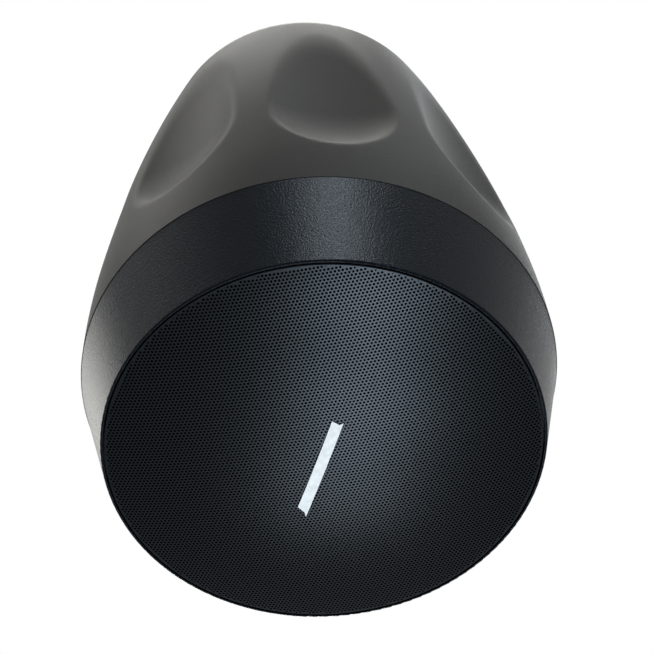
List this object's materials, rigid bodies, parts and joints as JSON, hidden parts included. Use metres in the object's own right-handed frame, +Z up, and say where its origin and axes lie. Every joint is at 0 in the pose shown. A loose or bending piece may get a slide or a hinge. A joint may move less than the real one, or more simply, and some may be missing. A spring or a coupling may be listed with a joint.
{
  "type": "pendant loudspeaker",
  "caption": "Hanging dome loudspeaker with scalloped upper shell, tapered lower band, perforated domed grille and a hanger bracket in a top well.",
  "frame": {"origin": "middle of the bounding box's base, which is the lowest point of the domed grille's name strip", "axes": "+Z up along the body's axis to the hanger, -Y towards the front hollow, +X to the right seen from the front"},
  "size_m": [0.283, 0.283, 0.4025],
  "materials": {
    "shell_plastic": "fine grained matt, near black",
    "housing_plastic": "satin black with a fine spark texture",
    "grille_metal": "black powder coat on perforated steel",
    "strip_print": "plain white, satin",
    "scrim_cloth": "thin black open cloth",
    "black_plastic": "moulded, satin",
    "gasket_foam": "closed cell foam",
    "surround_rubber": "soft satin rubber",
    "cone_plastic": "mica filled polypropylene",
    "cloth_yellow": "resin treated cloth",
    "tweeter_cloth": "coated cloth",
    "basket_metal": "black powder coat",
    "zinc_steel": "zinc plated",
    "ferrite": "ground ceramic ferrite",
    "foil": "bright rolled foil",
    "copper": "enamelled copper wire",
    "insert_brass": "turned brass",
    "wadding": "loose polyester wadding",
    "board_laminate": "glass cloth laminate",
    "can_film": "dipped film capacitor",
    "resistor_ceramic": "unglazed ceramic body",
    "core_steel": "stacked silicon steel, lacquered",
    "lead_sheath": "sheathed twin lead"
  },
  "bodies": {
    "enclosure": {"upper_shell": "shell_plastic", "lower_housing": "housing_plastic", "shell_gasket": "gasket_foam", "housing_screws": "zinc_steel", "shell_inserts": "insert_brass", "grille": "grille_metal", "grille_scrim": "scrim_cloth", "name_strip": "strip_print", "driver_gasket": "gasket_foam", "woofer_basket": "basket_metal", "woofer_surround": "surround_rubber", "woofer_spider": "cloth_yellow", "woofer_front_plate": "zinc_steel", "woofer_magnet": "ferrite", "woofer_yoke": "zinc_steel", "woofer_screws": "zinc_steel", "driver_tabs": "black_plastic", "tweeter_post": "zinc_steel", "post_nut": "zinc_steel", "tweeter_pot": "zinc_steel", "tweeter_magnet": "ferrite", "tweeter_pole": "zinc_steel", "tweeter_surround": "tweeter_cloth", "tweeter_horn": "black_plastic", "port_tube_left": "black_plastic", "port_tube_right": "black_plastic", "damping_pad": "wadding", "panel_gasket": "gasket_foam", "top_panel": "basket_metal", "panel_screws": "zinc_steel", "hanger_bracket": "zinc_steel", "hanger_bolts": "zinc_steel", "hanger_nuts": "zinc_steel", "tap_switch": "black_plastic", "switch_nut": "zinc_steel", "terminal_header": "black_plastic", "terminal_plug": "black_plastic", "terminal_screws": "zinc_steel", "board_standoffs": "zinc_steel", "crossover_board": "board_laminate", "board_screws": "zinc_steel", "inductor_woofer": "copper", "inductor_tweeter": "copper", "capacitors": "can_film", "resistor": "resistor_ceramic", "transformer_core": "core_steel", "transformer_winding": "copper", "driver_lead": "lead_sheath", "input_lead": "lead_sheath"},
    "knob": {"tap_knob": "black_plastic", "tap_shaft": "zinc_steel"},
    "woofer_moving": {"woofer_cone": "cone_plastic", "woofer_former": "foil", "woofer_winding": "copper"},
    "tweeter_moving": {"tweeter_dome": "foil", "tweeter_coil": "copper"}
  },
  "joints": [
    {"name": "tap_select", "type": "hinge", "parent": "enclosure", "child": "knob", "pos_m": [0, -0.031, 0.36086], "axis": [0, 0, 1], "range_deg": [0, 150]},
    {"name": "woofer_travel", "type": "slide", "parent": "enclosure", "child": "woofer_moving", "axis": [0, 0, 1], "range_m": [-0.005, 0.005], "stiffness_N_per_m": 1500, "deforming": ["woofer_surround", "woofer_spider"]},
    {"name": "tweeter_travel", "type": "slide", "parent": "enclosure", "child": "tweeter_moving", "axis": [0, 0, 1], "range_m": [-0.0004, 0.0004], "stiffness_N_per_m": 2000, "deforming": ["tweeter_surround"]}
  ]
}
